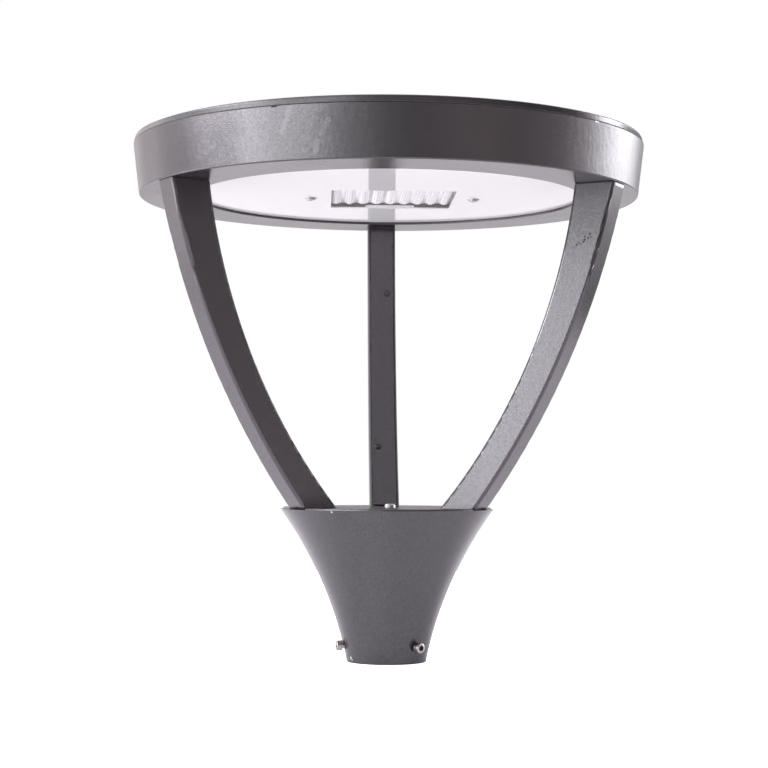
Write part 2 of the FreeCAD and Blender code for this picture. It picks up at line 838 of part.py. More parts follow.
# Clear moulded plate with a dome over every chip and a shallow pocket behind the domes
def lens_plate():
    plate = block(lens_plate_side, lens_plate_side, lens_bottom, board_bottom, module_x, module_y)
    inner = lens_plate_side - 2 * lens_rim
    pocket = block(inner, inner, lens_bottom + lens_skin, board_bottom, module_x, module_y)
    plate = plate.cut(pocket)
    ball_radius = ((lens_diameter / 2) ** 2 + lens_height ** 2) / (2 * lens_height)
    ball = Part.makeSphere(ball_radius, V(0, 0, lens_bottom + ball_radius - lens_height))
    side = 2 * lens_diameter
    slab = block(side, side, lens_bottom - 2 * lens_height, lens_bottom + lens_skin / 2)
    dome = ball.common(slab)
    domes = []
    for x, y in lens_places():
        copy = dome.copy()
        copy.translate(V(x, y, 0))
        domes.append(copy)
    plate = plate.fuse(domes)
    holes = []
    for spot in lens_screw_spots(lens_bottom):
        holes.append(cylinder(passing(m4_thread), lens_bottom, board_bottom, spot.x, spot.y))
    return plate.cut(holes)


def lens_screws():
    one = screw(m4_thread, lens_screw_length, m4_head, m4_head_height)
    return group([placed(one, spot, V(0, 0, -1)) for spot in lens_screw_spots(lens_bottom)])


def led_board():
    board = block(board_side, board_side, board_bottom, board_top, module_x, module_y)
    holes = []
    for spot in lens_screw_spots(board_bottom):
        holes.append(cylinder(passing(m4_thread), board_bottom, board_top, spot.x, spot.y))
    return board.cut(holes)


def led_chips():
    shapes = []
    for x, y in lens_places():
        shapes.append(block(chip_side, chip_side, board_bottom - chip_height, board_bottom, x, y))
    return group(shapes)


# Round plate under the cover that carries the module and the electrical parts
def gear_plate():
    plate = cylinder(2 * gear_radius, gear_bottom, gear_top)
    side = heat_block_side + 2 * slip_gap
    cuts = [block(side, side, gear_bottom, gear_top, module_x, module_y)]
    for angle in gear_angles:
        spot = polar(gear_boss_circle, angle)
        cuts.append(cylinder(passing(m4_thread), gear_bottom, gear_top, spot.x, spot.y))
    for spot in panel_standoff_tops():
        cuts.append(cylinder(passing(m4_thread), gear_bottom, gear_top, spot.x, spot.y))
    for spot in heat_screw_spots() + driver_screw_spots():
        cuts.append(cylinder(tapped(m4_thread), gear_bottom, gear_top, spot.x, spot.y))
    cable = polar(gland_radius, first_arm_angle)
    cuts.append(cylinder(gland_flats, gear_bottom, gear_top, cable.x, cable.y))
    return plate.cut(cuts)


def panel_standoff_tops():
    return panel_screw_spots(gear_bottom)


def gear_plate_screws():
    one = screw(m4_thread, gear_screw_length - tip_gap + gear_sheet, m4_head, m4_head_height)
    return group([placed(one, polar(gear_boss_circle, angle, gear_top)) for angle in gear_angles])


def standoff_screws():
    one = screw(m4_thread, gear_sheet + standoff_tap - tip_gap, m4_head, m4_head_height)
    return group([placed(one, V(spot.x, spot.y, gear_top)) for spot in panel_standoff_tops()])


def heat_screw_spots():
    half = (heat_base_side + heat_block_side) / 4
    height = gear_top + heat_base_thickness
    return [V(module_x + x, module_y + y, height) for x in (-half, half) for y in (-half, half)]


# Heat sink: a block through the gear plate's window, a base that rests on the plate, and fins
def heat_sink():
    base_top = gear_top + heat_base_thickness
    sink = block(heat_base_side, heat_base_side, gear_top, base_top, module_x, module_y)
    sink = sink.fuse(block(heat_block_side, heat_block_side, board_top, gear_top, module_x, module_y))
    fins = []
    step = (heat_block_side - fin_thickness) / (fin_count - 1)
    for k in range(fin_count):
        x = module_x - heat_block_side / 2 + fin_thickness / 2 + k * step
        fins.append(block(fin_thickness, heat_base_side, base_top, base_top + fin_height, x, module_y))
    sink = sink.fuse(fins).removeSplitter()
    holes = []
    for spot in heat_screw_spots():
        holes.append(cylinder(passing(m4_thread), gear_top, base_top, spot.x, spot.y))
    for spot in lens_screw_spots(board_top):
        holes.append(cylinder(tapped(m4_thread), board_top, board_top + lens_tap, spot.x, spot.y))
    return sink.cut(holes)


def heat_sink_screws():
    one = screw(m4_thread, heat_screw_length, m4_head, m4_head_height)
    return group([placed(one, spot) for spot in heat_screw_spots()])


def driver_screw_spots():
    reach = driver_length / 2 + driver_ear / 2
    return [V(x, driver_y, gear_top + driver_ear_thickness) for x in (-reach, reach)]


# Sealed power supply with an ear at each end
def driver():
    case = block(driver_length, driver_width, gear_top, gear_top + driver_height, 0, driver_y)
    middle = gear_top + driver_height / 2
    long_edges = [e for e in case.Edges if e.Length > driver_width + past and e.CenterOfMass.z > middle]
    case = case.makeFillet(driver_round, long_edges)
    full = driver_length + 2 * driver_ear
    ears = block(full, driver_width / 2, gear_top, gear_top + driver_ear_thickness, 0, driver_y)
    case = case.fuse(ears).removeSplitter()
    holes = []
    for spot in driver_screw_spots():
        holes.append(cylinder(passing(m4_thread), gear_top, gear_top + driver_height, spot.x, spot.y))
    return case.cut(holes)


def driver_screws():
    one = screw(m4_thread, driver_screw_length, m4_head, m4_head_height)
    return group([placed(one, spot) for spot in driver_screw_spots()])


def surge_protector():
    box = block(surge_width, surge_length, gear_top, gear_top + surge_height, surge_x, surge_y)
    top_edges = [e for e in box.Edges if e.CenterOfMass.z > gear_top + surge_height - surge_round]
    return box.makeFillet(surge_round, top_edges)


# Terminal block with a row of wire holes and screw wells
def terminal_block():
    top = gear_top + terminal_height
    box = block(terminal_width, terminal_length, gear_top, top, terminal_x, terminal_y)
    step = terminal_length / terminal_poles
    mouth_bottom = gear_top + terminal_mouth_height
    mouth_top = mouth_bottom + terminal_mouth
    cuts = []
    for k in range(terminal_poles):
        y = terminal_y + (k + 0.5) * step - terminal_length / 2
        cuts.append(cylinder(terminal_well, (gear_top + top) / 2, top, terminal_x, y))
        cuts.append(block(terminal_width, terminal_mouth, mouth_bottom, mouth_top, terminal_x, y))
    return box.cut(cuts)


# Gland that leads the supply from the first arm through the flange
def cable_gland():
    spot = polar(gland_radius, first_arm_angle)
    nut_height = gland_height / 2
    nut = placed(hexagon(gland_flats, nut_height), V(spot.x, spot.y, flange_top))
    cap = cylinder(gland_cap, flange_top + nut_height, flange_top + gland_height, spot.x, spot.y)
    stem = cylinder(gland_body, ring_bottom - gland_stem, flange_top, spot.x, spot.y)
    hole = cylinder(gland_bore, ring_bottom - gland_stem, flange_top + gland_height, spot.x, spot.y)
    return nut.fuse([cap, stem]).removeSplitter().cut(hole)


# Round cover with a low crown, a register inside the ring and a boss under every screw
def top_cover():
    dome_radius = cover_edge_radius - cover_edge_round
    crown_top = lid_edge_top + cover_crown
    dome = Bow((dome_radius, lid_edge_top), (0, crown_top), (-dome_radius, lid_edge_top))
    sheet = Bow((dome_radius, lid_edge_top - cover_sheet), (0, crown_top - cover_sheet),
                (-dome_radius, lid_edge_top - cover_sheet))

    def height_on(bow, radius):
        return bow.z + math.sqrt(bow.radius ** 2 - (radius - bow.r) ** 2)

    register_outer = ring_seam_radius - ring_wall - seat_gap
    register_inner = register_outer - cover_register_width
    register_bottom = shelf_height + seal_height
    half_round = cover_edge_round * (1 - math.sqrt(0.5))
    cover = turned(
        (0, crown_top),
        ((dome_radius / 2, height_on(dome, dome_radius / 2)), (dome_radius, lid_edge_top)),
        ((cover_edge_radius - half_round, lid_edge_top - half_round),
         (cover_edge_radius, lid_edge_top - cover_edge_round)),
        (ring_seam_radius, ring_top + seam_chamfer),
        (ring_seam_radius - seam_chamfer, ring_top),
        (register_outer, ring_top),
        (register_outer, register_bottom),
        (register_inner, register_bottom),
        (register_inner, height_on(sheet, register_inner)),
        ((register_inner / 2, height_on(sheet, register_inner / 2)), (0, crown_top - cover_sheet)),
    )
    seat = cover_screw_seat()
    bosses = []
    holes = []
    for angle in boss_angles:
        spot = polar(cover_boss_circle, angle)
        bosses.append(cylinder(cover_boss, shelf_height, seat - cover_sheet / 2, spot.x, spot.y))
        holes.append(cylinder(passing(m5_thread), shelf_height, seat, spot.x, spot.y))
        holes.append(cylinder(m5_head + 2 * head_gap, seat, crown_top, spot.x, spot.y))
    return cover.fuse(bosses).removeSplitter().cut(holes)


def cover_screw_seat():
    return lid_edge_top - cover_screw_sink


def top_cover_gasket():
    outer = ring_seam_radius - ring_wall - seal_gap
    inner = ring_seam_radius - ring_wall - shelf_width + seal_gap
    return turned(
        (inner, shelf_height),
        (outer, shelf_height),
        (outer, shelf_height + seal_height),
        (inner, shelf_height + seal_height),
    )


def top_cover_screws():
    one = screw(m5_thread, top_screw_length, m5_head, m5_head_height, m5_head_round, m5_key, m5_key_depth)
    seat = cover_screw_seat()
    return group([placed(one, polar(cover_boss_circle, angle, seat)) for angle in boss_angles])


parts = {
    "spigot_cup": spigot_cup(),
    "clamp_screws": clamp_screws(),
    "arm_carrier": arm_carrier(),
    "carrier_screws": carrier_screws(),
    "arm_foot_screws": arm_foot_screws(),
    "cover_pillar": cover_pillar(),
    "cup_cover": cup_cover(),
    "cup_cover_screw": cup_cover_screw(),
    "arm_strip_screws": arm_strip_screws(),
    "arm_head_pads": arm_head_pads(),
    "arm_head_screws": arm_head_screws(),
    "housing_ring": housing_ring(),
    "panel_gasket": panel_gasket(),
    "panel_clips": panel_clips(),
    "panel_clip_screws": panel_clip_screws(),
    "reflector_panel": reflector_panel(),
    "panel_screws": panel_screws(),
    "panel_standoffs": panel_standoffs(),
    "lens_plate": lens_plate(),
    "lens_screws": lens_screws(),
    "led_board": led_board(),
    "led_chips": led_chips(),
    "gear_plate": gear_plate(),
    "gear_plate_screws": gear_plate_screws(),
    "standoff_screws": standoff_screws(),
    "heat_sink": heat_sink(),
    "heat_sink_screws": heat_sink_screws(),
    "driver": driver(),
    "driver_screws": driver_screws(),
    "surge_protector": surge_protector(),
    "terminal_block": terminal_block(),
    "cable_gland": cable_gland(),
    "top_cover": top_cover(),
    "top_cover_gasket": top_cover_gasket(),
    "top_cover_screws": top_cover_screws(),
}
one_arm = arm()
one_strip = arm_strip()
for number, angle in enumerate(arm_angles, 1):
    parts["arm_%d" % number] = around(one_arm, angle)
    parts["arm_strip_%d" % number] = around(one_strip, angle)

for name, shape in parts.items():
    shape.exportStep("parts/%s.step" % name)
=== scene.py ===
import bpy
import math
from mathutils import Matrix, Vector

# Street light head for a pole top: studio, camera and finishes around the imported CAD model.
# Everything is in metres, in the CAD frame: origin at the cup's foot, Z up.

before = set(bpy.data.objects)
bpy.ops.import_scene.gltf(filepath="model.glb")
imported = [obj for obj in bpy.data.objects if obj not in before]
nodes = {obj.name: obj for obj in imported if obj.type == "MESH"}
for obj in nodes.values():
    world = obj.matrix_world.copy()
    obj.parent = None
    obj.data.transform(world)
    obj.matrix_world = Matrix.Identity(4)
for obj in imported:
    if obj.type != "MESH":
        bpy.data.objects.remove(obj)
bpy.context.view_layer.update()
print("frame:", len(nodes), "nodes")


# Shader helpers

noiseRange = (0.3, 0.7)  # where most values of a noise lie
fullStrength = {"stroke": 0.4, "spot": 0.5}  # share of a mark's width before it fades
nodeGrid = {"columns": 12, "across": 180, "down": 220}


def newMaterial(name):
    material = bpy.data.materials.new(name)
    material.use_nodes = True
    material.node_tree.nodes.clear()
    return material


# sets a socket, by a link from another socket or by a plain value
def fill(tree, socket, value):
    if isinstance(value, bpy.types.NodeSocket):
        tree.links.new(value, socket)
    else:
        socket.default_value = value


class Graph:
    def __init__(self, tree):
        self.tree = tree
        self.count = 0

    # adds a node; inputs are sockets to link or plain values, by name or number
    def add(self, kind, inputs=None, **settings):
        made = self.tree.nodes.new(kind)
        row, column = divmod(self.count, nodeGrid["columns"])
        made.location = (nodeGrid["across"] * column, -nodeGrid["down"] * row)
        self.count += 1
        for key, value in settings.items():
            setattr(made, key, value)
        for key, value in (inputs or {}).items():
            fill(self.tree, made.inputs[key], value)
        return made

    def place(self, output="Object"):
        return self.add("ShaderNodeTexCoord").outputs[output]

    def math(self, operation, a, b=0.0, c=0.0, clamp=False):
        inputs = {0: a, 1: b, 2: c}
        return self.add("ShaderNodeMath", inputs, operation=operation, use_clamp=clamp).outputs[0]

    def vector(self, operation, a, b=(0, 0, 0)):
        return self.add("ShaderNodeVectorMath", {0: a, 1: b}, operation=operation)

    def scale(self, vector, share):
        return self.add("ShaderNodeVectorMath", {0: vector, "Scale": share}, operation="SCALE").outputs[0]

    def noise(self, where, scale, detail=2.0, roughness=0.5):
        values = {"Vector": where, "Scale": scale, "Detail": detail, "Roughness": roughness}
        return self.add("ShaderNodeTexNoise", values).outputs["Fac"]

    # turns a value between two limits into another range
    def span(self, value, low, high, toLow=0.0, toHigh=1.0, smooth=False):
        kind = "SMOOTHSTEP" if smooth else "LINEAR"
        values = {"Value": value, "From Min": low, "From Max": high, "To Min": toLow, "To Max": toHigh}
        return self.add("ShaderNodeMapRange", values, interpolation_type=kind).outputs[0]

    # turns the usual range of a noise into another range
    def spread(self, noise, toLow, toHigh):
        return self.span(noise, *noiseRange, toLow, toHigh)

    # how far an angle is from a direction in degrees, the short way round
    def away(self, angle, direction):
        turned = self.math("SUBTRACT", angle, math.radians(direction))
        return self.math("ABSOLUTE", self.math("WRAP", turned, math.pi, -math.pi))

    def mix(self, share, a, b):
        made = self.add("ShaderNodeMix", data_type="RGBA")
        for key, value in (("Factor", share), ("A", a), ("B", b)):
            fill(self.tree, [s for s in made.inputs if s.name == key and s.enabled][0], value)
        return [s for s in made.outputs if s.enabled][0]

    def bump(self, height, distance, normal=None):
        values = {"Height": height, "Distance": distance}
        if normal:
            values["Normal"] = normal
        return self.add("ShaderNodeBump", values).outputs[0]

    # one inside a stroke from start to end, fading out to its width
    def stroke(self, where, start, end, width):
        reach = Vector(end) - Vector(start)
        offset = self.vector("SUBTRACT", where, start).outputs[0]
        along = self.vector("DOT_PRODUCT", offset, reach).outputs["Value"]
        share = self.math("DIVIDE", along, reach.length_squared, clamp=True)
        foot = self.vector("ADD", self.scale(reach, share), start).outputs[0]
        away = self.vector("DISTANCE", where, foot).outputs["Value"]
        return self.span(away, width, width * fullStrength["stroke"])

    # one inside a round spot
    def spot(self, where, centre, radius):
        away = self.vector("DISTANCE", where, centre).outputs["Value"]
        return self.span(away, radius, radius * fullStrength["spot"])

    # the strongest of several masks
    def strongest(self, masks):
        total = masks[0]
        for mask in masks[1:]:
            total = self.math("MAXIMUM", total, mask)
        return total

    def surface(self, **inputs):
        values = {key.replace("_", " "): value for key, value in inputs.items()}
        shader = self.add("ShaderNodeBsdfPrincipled", values)
        out = self.add("ShaderNodeOutputMaterial")
        self.tree.links.new(shader.outputs[0], out.inputs["Surface"])
        return shader


# a grey with a little more or less red and blue
def grey(level, red=1.0, blue=1.0):
    return (level * red, level, level * blue, 1.0)


def paint(material, *names):
    for name in names:
        for place in nodes[name].material_slots:
            place.material = material


# Powder coat: dark grey with a metallic grain, a little orange peel, the wear of handling, painted shade on
# the arms' edges that face the axis and a painted highlight at the top of the right arm

powderCoat = {
    "tint": (1.065, 1.07),  # red and blue against green
    "shade": 1.0,
    "grainLight": 0.13,
    "grainDark": 0.072,
    "grainScale": 1500.0,
    "grainRange": (0.38, 0.62),
    "mottle": 0.07,
    "mottleScale": 330.0,
    "metallic": 0.85,
    "roughness": (0.22, 0.28),
    "cloudScale": 14.0,
    "peelScale": 620.0,
    "peelHeight": 0.00006,
    "rollScale": 220.0,
    "rollStretch": (1, 1, 0.35),
    "rollHeight": 0.00005,
    # painted shade on an arm's edges that face the axis: their colour is scaled by shade, and they are duller
    # and not metallic
    "paintedShadeLip": {"low": 0.2, "high": 0.4, "shade": 0.35, "roughness": 0.65},
}
# Marks seen on the real lamp, in the CAD frame: a stroke is start, end and width, a spot is centre and radius
wearAndHighlightLevels = {
    "scuff": 0.18,
    "scuffScale": 500.0,
    "scuffRange": (0.35, 0.6),
    "scuffShare": (0.2, 0.26),
    # tone of the pale chips and of the right arm's painted highlight
    "pale": 0.70,
    "paleRoughness": 0.3,
    "dark": 0.012,
}
ringWear = {
    "scuffs": [
        ((-0.0939, -0.2313, 0.4982), (-0.0983, -0.2275, 0.4843), 0.0034),
        ((-0.0983, -0.2275, 0.4843), (-0.1004, -0.2259, 0.4783), 0.0030),
        ((-0.0606, -0.2406, 0.4864), (-0.0632, -0.2391, 0.4800), 0.0034),
        ((-0.0632, -0.2391, 0.4800), (-0.0669, -0.2375, 0.4754), 0.0030),
        ((-0.0697, -0.2359, 0.4685), (-0.0713, -0.2344, 0.4592), 0.0030),
        ((-0.0564, -0.2430, 0.5004), (-0.0440, -0.2460, 0.5010), 0.0013),
    ],
    "pale": [((0.1800, -0.1733, 0.5008), (0.1832, -0.1699, 0.5008), 0.0011)],
    "dark": [((-0.1094, -0.2247, 0.5003), (-0.1055, -0.2265, 0.5007), 0.0010)],
}
rightArmWearAndHighlight = {
    # pale: a painted highlight, a pale band across the top of the arm's outer face; pits: dark pits in the
    # paint
    "pale": [((0.2058, -0.1280, 0.4521), (0.2146, -0.1126, 0.4515), 0.0026)],
    "pits": [
        ((0.1708, -0.1157, 0.3958), 0.0011),
        ((0.1721, -0.1164, 0.3975), 0.0009),
        ((0.1742, -0.1177, 0.3967), 0.0009),
        ((0.1766, -0.1190, 0.3983), 0.0011),
        ((0.1776, -0.1196, 0.4002), 0.0013),
        ((0.1777, -0.1197, 0.4032), 0.0010),
        ((0.1820, -0.1222, 0.4051), 0.0011),
        ((0.1831, -0.1228, 0.4025), 0.0010),
        ((0.1809, -0.1215, 0.4016), 0.0010),
    ],
}
cupWear = {
    "spots": [
        ((-0.0350, -0.0190, 0.0049), 0.0017),
        ((-0.0342, -0.0204, 0.0030), 0.0012),
        ((-0.0548, -0.0871, 0.1469), 0.0012),
    ],
}
armAngles = {"back": 90, "left": 210, "right": 330}


def towardsAxis(angle):
    return (-math.cos(math.radians(angle)), -math.sin(math.radians(angle)), 0.0)


# changes holds the values that differ on this piece. An arm gives the way to the axis as inward:
# its edges on that side lie in its own shade, painted into their colour as a darker tone, and they are duller
# there.
def makePowderCoat(name, marks, inward=None, **changes):
    look = {**powderCoat, **changes}
    tint, shade, mottle = look["tint"], look["shade"], look["mottle"]
    material = newMaterial(name)
    g = Graph(material.node_tree)
    where = g.place()
    grain = g.span(g.noise(where, look["grainScale"], 3.0, 0.6), *look["grainRange"])
    colour = g.mix(grain, grey(look["grainDark"], *tint), grey(look["grainLight"], *tint))
    blotch = g.noise(where, look["mottleScale"], 4.0, 0.7)
    colour = g.scale(colour, g.spread(blotch, shade * (1 - mottle), shade * (1 + mottle)))
    rough = g.spread(g.noise(where, look["cloudScale"], 3.0), *look["roughness"])
    metallic = look["metallic"]
    if inward:
        paintedShadeLip = look["paintedShadeLip"]
        facing = g.vector("DOT_PRODUCT", g.place("Normal"), inward).outputs["Value"]
        inner = g.span(facing, paintedShadeLip["low"], paintedShadeLip["high"])
        # painted shade: the colour darkens on the edges that face the axis
        colour = g.scale(colour, g.span(inner, 0.0, 1.0, 1.0, paintedShadeLip["shade"]))
        rough = g.math("MAXIMUM", rough, g.math("MULTIPLY", inner, paintedShadeLip["roughness"]))
        metallic = g.span(inner, 0.0, 1.0, metallic, 0.0)
    scuffs = [g.stroke(where, *mark) for mark in marks.get("scuffs", ())]
    pale = [g.stroke(where, *mark) for mark in marks.get("pale", ())]
    pale += [g.spot(where, *mark) for mark in marks.get("spots", ())]
    dark = [g.stroke(where, *mark) for mark in marks.get("dark", ())]
    dark += [g.spot(where, *mark) for mark in marks.get("pits", ())]
    if scuffs:
        broken = g.noise(where, wearAndHighlightLevels["scuffScale"], 3.0)
        share = g.span(broken, *wearAndHighlightLevels["scuffRange"], *wearAndHighlightLevels["scuffShare"])
        share = g.math("MULTIPLY", g.strongest(scuffs), share)
        colour = g.mix(share, colour, grey(wearAndHighlightLevels["scuff"], *tint))
    if pale:
        # pale chips, and the right arm's painted highlight
        paleChipAndHighlight = g.strongest(pale)
        colour = g.mix(paleChipAndHighlight, colour, grey(wearAndHighlightLevels["pale"]))
        rough = g.math("ADD", rough, g.math("MULTIPLY", paleChipAndHighlight, wearAndHighlightLevels["paleRoughness"]))
    if dark:
        colour = g.mix(g.strongest(dark), colour, grey(wearAndHighlightLevels["dark"]))
    upright = g.vector("MULTIPLY", where, look["rollStretch"]).outputs[0]
    roll = g.bump(g.noise(upright, look["rollScale"]), look["rollHeight"])
    peel = g.bump(g.noise(where, look["peelScale"]), look["peelHeight"], roll)
    g.surface(Base_Color=colour, Metallic=metallic, Roughness=rough, Normal=peel)
    return material


paint(makePowderCoat("greyPowderCoat", {}), "cup_cover", "top_cover")
paint(makePowderCoat("backArmPowderCoat", {}, towardsAxis(armAngles["back"])), "arm_1")
paint(makePowderCoat("leftArmPowderCoat", {}, towardsAxis(armAngles["left"])), "arm_2")
paint(makePowderCoat("rightArmPowderCoat", rightArmWearAndHighlight, towardsAxis(armAngles["right"])), "arm_3")
paint(makePowderCoat("stripPowderCoat", {}, shade=0.86), "arm_strip_1", "arm_strip_2", "arm_strip_3")
paint(makePowderCoat("ringPowderCoat", ringWear, rollHeight=0.00014), "housing_ring")
paint(makePowderCoat("cupPowderCoat", cupWear, tint=(1.03, 1.06)), "spigot_cup")
print("powder coat done")


# Bright and black metals

metals = [
    {
        "name": "stainlessSteel", "level": 0.50, "roughness": 0.28, "grain": 900.0,
        "stretch": (1, 1, 5), "red": 1.05,
        "pieces": ("cup_cover_screw", "panel_screws", "lens_screws", "top_cover_screws"),
    },
    {
        "name": "clampScrewSteel", "level": 0.42, "roughness": 0.3, "grain": 900.0,
        "stretch": (1, 1, 1), "red": 1.08,
        "pieces": ("clamp_screws",),
    },
    {
        "name": "zincPlate", "level": 0.55, "roughness": 0.32, "grain": 500.0,
        "stretch": (1, 1, 1), "red": 1.0,
        "pieces": ("carrier_screws", "arm_foot_screws", "cover_pillar", "arm_head_screws", "panel_clips",
                   "panel_clip_screws", "panel_standoffs", "standoff_screws", "gear_plate_screws",
                   "heat_sink_screws", "driver_screws"),
    },
    {
        "name": "blackSteel", "level": 0.07, "roughness": 0.25, "grain": 500.0,
        "stretch": (1, 1, 1), "red": 1.0,
        "pieces": ("arm_strip_screws",),
    },
    {
        "name": "millAluminium", "level": 0.66, "roughness": 0.36, "grain": 300.0,
        "stretch": (1, 14, 14), "red": 1.0,
        "pieces": ("arm_carrier", "heat_sink"),
    },
]
metalGrain = {"dull": 0.86, "roughness": (0.8, 1.25), "height": 0.00002}
# The clamp screws stand at these angles round the foot, and painted shade darkens their sockets inside
socket = {
    "metal": "clampScrewSteel",
    "turns": (70, 190, 310),
    "height": 0.016,
    "inner": 0.036,
    "outer": 0.060,
    "width": 0.0034,
    # tone of the painted shade in a socket, as a share of the steel's level
    "dark": 0.1,
}


# painted shade: a dark stroke along the axis of each clamp screw, over its socket
def socketShadeStrokes():
    marks = []
    for turn in socket["turns"]:
        x, y = math.cos(math.radians(turn)), math.sin(math.radians(turn))
        start, end = [(reach * x, reach * y, socket["height"]) for reach in (socket["inner"], socket["outer"])]
        marks.append((start, end, socket["width"]))
    return marks


def makeMetal(metal):
    level, red = metal["level"], metal["red"]
    material = newMaterial(metal["name"])
    g = Graph(material.node_tree)
    where = g.place()
    streak = g.noise(g.vector("MULTIPLY", where, metal["stretch"]).outputs[0], metal["grain"], 3.0)
    colour = g.mix(streak, grey(level * metalGrain["dull"], red), grey(level, red))
    # painted shade in the clamp screws' sockets
    if metal["name"] == socket["metal"]:
        socketShadeMask = g.strongest([g.stroke(where, *mark) for mark in socketShadeStrokes()])
        colour = g.mix(socketShadeMask, colour, grey(level * socket["dark"], red))
    rough = g.spread(streak, *[metal["roughness"] * share for share in metalGrain["roughness"]])
    g.surface(Base_Color=colour, Metallic=1.0, Roughness=rough, Normal=g.bump(streak, metalGrain["height"]))
    return material


for metal in metals:
    paint(makeMetal(metal), *metal["pieces"])
print("metals done")


# Moulded and painted surfaces

usualFinish = {"grain": 900.0, "height": 0.00003, "variation": 0.06, "glow": 0.0}
finishes = [
    {
        "name": "glossWhitePaint", "colour": (0.825, 0.822, 0.828), "roughness": 0.03,
        "grain": 300.0, "height": 0.000001, "variation": 0.02,
        "pieces": ("reflector_panel",),
    },
    {
        "name": "blackSilicone", "colour": (0.02, 0.02, 0.021), "roughness": 0.6,
        "pieces": ("panel_gasket", "arm_head_pads", "top_cover_gasket"),
    },
    {
        "name": "boardSolderMask", "colour": (0.80, 0.80, 0.78), "roughness": 0.35,
        "pieces": ("led_board",),
    },
    {
        "name": "chipPhosphor", "colour": (0.86, 0.66, 0.16), "roughness": 0.3,
        "pieces": ("led_chips",),
    },
    {
        "name": "driverCase", "colour": (0.72, 0.72, 0.72), "roughness": 0.4,
        "pieces": ("driver",),
    },
    {
        # the weak glow stands for light scattered inside the closed housing
        "name": "gearPlatePaint", "colour": (0.86, 0.82, 0.85), "roughness": 0.5, "glow": 0.07,
        "pieces": ("gear_plate",),
    },
    {
        "name": "greyPlastic", "colour": (0.30, 0.30, 0.31), "roughness": 0.5,
        "pieces": ("surge_protector", "terminal_block"),
    },
    {
        "name": "blackPlastic", "colour": (0.03, 0.03, 0.03), "roughness": 0.45,
        "pieces": ("cable_gland",),
    },
]
cloud = {"scale": 20.0, "roughness": (0.9, 1.1)}


def makeMoulded(finish):
    look = {**usualFinish, **finish}
    material = newMaterial(look["name"])
    g = Graph(material.node_tree)
    where = g.place()
    grain = g.noise(where, look["grain"], 3.0)
    patches = g.noise(where, cloud["scale"])
    dull = tuple(c * (1 - look["variation"]) for c in look["colour"])
    tone = g.mix(patches, (*dull, 1.0), (*look["colour"], 1.0))
    rough = g.spread(patches, *[look["roughness"] * share for share in cloud["roughness"]])
    g.surface(Base_Color=tone, Roughness=rough, Normal=g.bump(grain, look["height"]),
              Emission_Color=grey(1.0), Emission_Strength=look["glow"])
    return material


for finish in finishes:
    paint(makeMoulded(finish), *finish["pieces"])
print("moulded surfaces done")


# Lens plastic: milky columns with fine flutes and painted shade on their dark sides, and clean ribs between
# them

lens = {
    "tint": (0.97, 0.96, 0.97),
    # painted shade: a flute's dark side is painted this much darker
    "fluteShade": 0.80,  # tone of a flute's dark side
    "fluteScale": 125.0,
    "fluteDistortion": 0.3,
    "fluteHeight": 0.00003,
    "ior": 1.49,
    "hazeScale": 260.0,
    "roughness": (0.14, 0.26),
    "clear": 0.1,
    "middle": 0.0043,  # x of the middle column
    "pitch": 0.01385,
    "columnShare": (0.84, 0.90),  # where a column ends and the rib begins
    "ribRoughness": 0.05,
}


def makeLens():
    material = newMaterial("lensPlastic")
    g = Graph(material.node_tree)
    where = g.place()
    rough = g.spread(g.noise(where, lens["hazeScale"]), *lens["roughness"])
    aside = g.math("SUBTRACT", g.add("ShaderNodeSeparateXYZ", {0: where}).outputs["X"], lens["middle"])
    half = lens["pitch"] / 2
    across = g.math("ABSOLUTE", g.math("WRAP", aside, half, -half))
    rib = g.span(across, *[half * share for share in lens["columnShare"]])
    rough = g.span(rib, 0.0, 1.0, rough, lens["ribRoughness"])
    values = {"Vector": where, "Scale": lens["fluteScale"], "Distortion": lens["fluteDistortion"]}
    flutes = g.add("ShaderNodeTexWave", values, bands_direction="X").outputs["Fac"]
    # painted shade on the flutes' dark sides, left off the ribs
    dull = tuple(c * lens["fluteShade"] for c in lens["tint"])
    colour = g.mix(g.math("MAXIMUM", flutes, rib), (*dull, 1.0), (*lens["tint"], 1.0))
    shader = g.surface(Base_Color=colour, Roughness=rough, Normal=g.bump(flutes, lens["fluteHeight"]))
    shader.inputs["Transmission Weight"].default_value = lens["clear"]
    shader.inputs["IOR"].default_value = lens["ior"]
    return material


paint(makeLens(), "lens_plate")
print("lens done")


# Studio: a pale table and a pale room with soft patches of light around the lamp

studio = {
    "floorRadius": 1.6,
    "floorSides": 96,
    "floorTone": 0.87,
    "floorTint": (1.06, 1.07),
    "floorDull": 0.99,
    "floorGrain": 60.0,
    "floorRoughness": 0.9,
    "nearRadius": 0.35,
    "nearEdge": (1.3, 0.7),  # the near glow fades between these shares of its radius
    "nearGlow": 0.120,
    "farGlow": {"left": 0.19},  # glow of the floor beyond the near one, by side
    "farSpread": (0.35, 0.95),
    "room": (0.065, 0.060, 0.062),
    "ceiling": (0.75, 0.75, 0.75),
    "ceilingRise": (0.58, 1.05),  # height in radians where the ceiling's light starts and is full
}
sides = {"left": ("X", -1), "right": ("X", 1), "rear": ("Y", 1), "front": ("Y", -1)}
smallest = 0.01  # keeps a division away from zero
